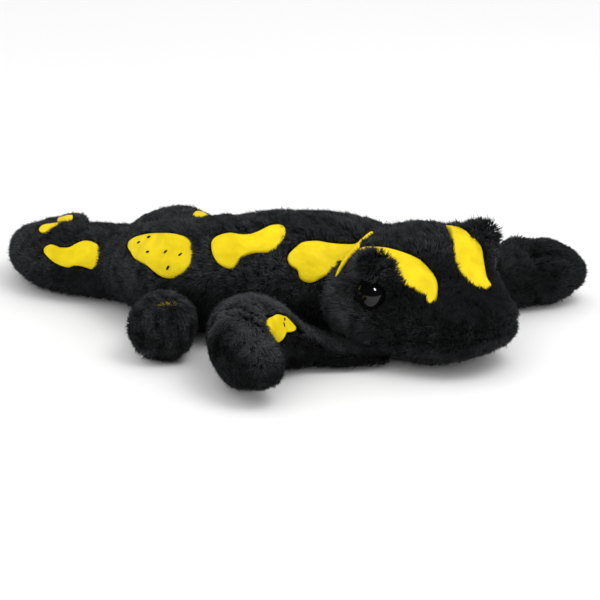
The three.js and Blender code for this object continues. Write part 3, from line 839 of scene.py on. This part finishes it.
# Each piece of the pile: its tube, and the shares of it between which it grows
STRETCHES = {
    "shoulders": (body, (0.02, 0.2)), "trunk": (body, (0.2, 0.33)), "hips": (body, (0.33, 0.5)),
    "tail": (body, (0.5, 0.7)), "tail_end": (body, (0.7, 1.0)),
    "nape": (head, (0.0, 0.33)), "face": (head, (0.33, 0.6)), "muzzle": (head, (0.6, 1.0)),
    **{name: (leg, (0.0, 1.0)) for name, leg in legs.items()},
}
for seed, (name, (tube, (start, end))) in enumerate(STRETCHES.items()):
    points, faces, place, shade = locks(tube, start, end, seed)
    coat = make_piece("pile_" + name, points, [faces], plush.material)
    bake = coat.data.uv_layers.new(name="OFBake")
    bake.uv.foreach_set("vector", place[faces.ravel()].astype(np.float32).ravel())
    coat.data.attributes.new("shade", "FLOAT", "POINT").data.foreach_set("value", shade.astype(np.float32))
    coat.data.shade_smooth()
    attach(coat, "root")

# ---------------------------------------------------------------------------
# The studio. A pale seamless floor, even soft light from all round, one soft lamp high over the
# right front, another that only puts the bright point in the eye, and a long lens.

AZIMUTH, ELEVATION = np.radians(28.0), np.radians(19.0)
DISTANCE, ACROSS, RISE = 880.0, -65.5, 26.3  # mm from the floor point under the eye line
LENS, SENSOR = 105.6, 36.0  # mm
FLOOR_REACH = 3000.0  # from its middle to each side, mm
PAPER, PALE_PAPER = (0.86, 0.86, 0.86, 1.0), (0.88, 0.88, 0.88, 1.0)

paper = Finish("studio_floor")
paper.set(paper.shader, {
    "Base Color": paper.mix(paper.noise(400.0), PAPER, PALE_PAPER),
    "Roughness": 0.7, "Specular IOR Level": 0.2})
corners = FLOOR_REACH * np.array([[-1, -1, 0], [1, -1, 0], [1, 1, 0], [-1, 1, 0]])
floor = make_piece("studio_floor", corners, [np.array([[0, 1, 2, 3]])], paper.material)

world = bpy.data.worlds.new("studio")
world.use_nodes = True
world.node_tree.nodes["Background"].inputs["Color"].default_value = (1.0, 1.0, 1.0, 1.0)
world.node_tree.nodes["Background"].inputs["Strength"].default_value = 1.15
world.cycles_visibility.glossy = False  # a dark studio beyond the floor, as the eyes reflect it
bpy.context.scene.world = world
bpy.context.scene.view_settings.view_transform = "Standard"


def lamp(name, place, aim, size, power):
    """A square soft lamp, size mm across, at a place in mm and facing a point. Power in watts."""
    light = bpy.data.lights.new(name, "AREA")
    light.size, light.energy = size * MM, power
    source = bpy.data.objects.new(name, light)
    place, aim = Vector(ORIGIN + MM * np.array(place)), Vector(ORIGIN + MM * np.array(aim))
    facing = (place - aim).to_track_quat("Z", "Y").to_matrix().to_4x4()
    source.matrix_world = Matrix.Translation(place) @ facing
    bpy.context.scene.collection.objects.link(source)
    return source


lamp("high_lamp", (365, -63, 853), (-17, -37, 39), 420, 2.6).visible_glossy = False
glint = lamp("glint_lamp", (500, -262, 739), (-17, -35, 39), 210, 8.5)
glint.data.shape, glint.data.size_y = "RECTANGLE", 300 * MM
glint.visible_diffuse = False

right = np.array([np.cos(AZIMUTH), np.sin(AZIMUTH), 0])
back = np.array([np.sin(AZIMUTH) * np.cos(ELEVATION), -np.cos(AZIMUTH) * np.cos(ELEVATION),
                 np.sin(ELEVATION)])
up = np.cross(back, right)
lens = bpy.data.cameras.new("camera")
lens.lens, lens.sensor_width = LENS, SENSOR
lens.clip_start, lens.clip_end = 0.05, 20.0  # m
camera = bpy.data.objects.new("camera", lens)
stand = ORIGIN + MM * (back * DISTANCE + right * ACROSS + up * RISE)
columns = np.vstack([np.column_stack([right, up, back, stand]), [0, 0, 0, 1]])
camera.matrix_world = Matrix(columns.tolist())
bpy.context.scene.collection.objects.link(camera)
bpy.context.scene.camera = camera
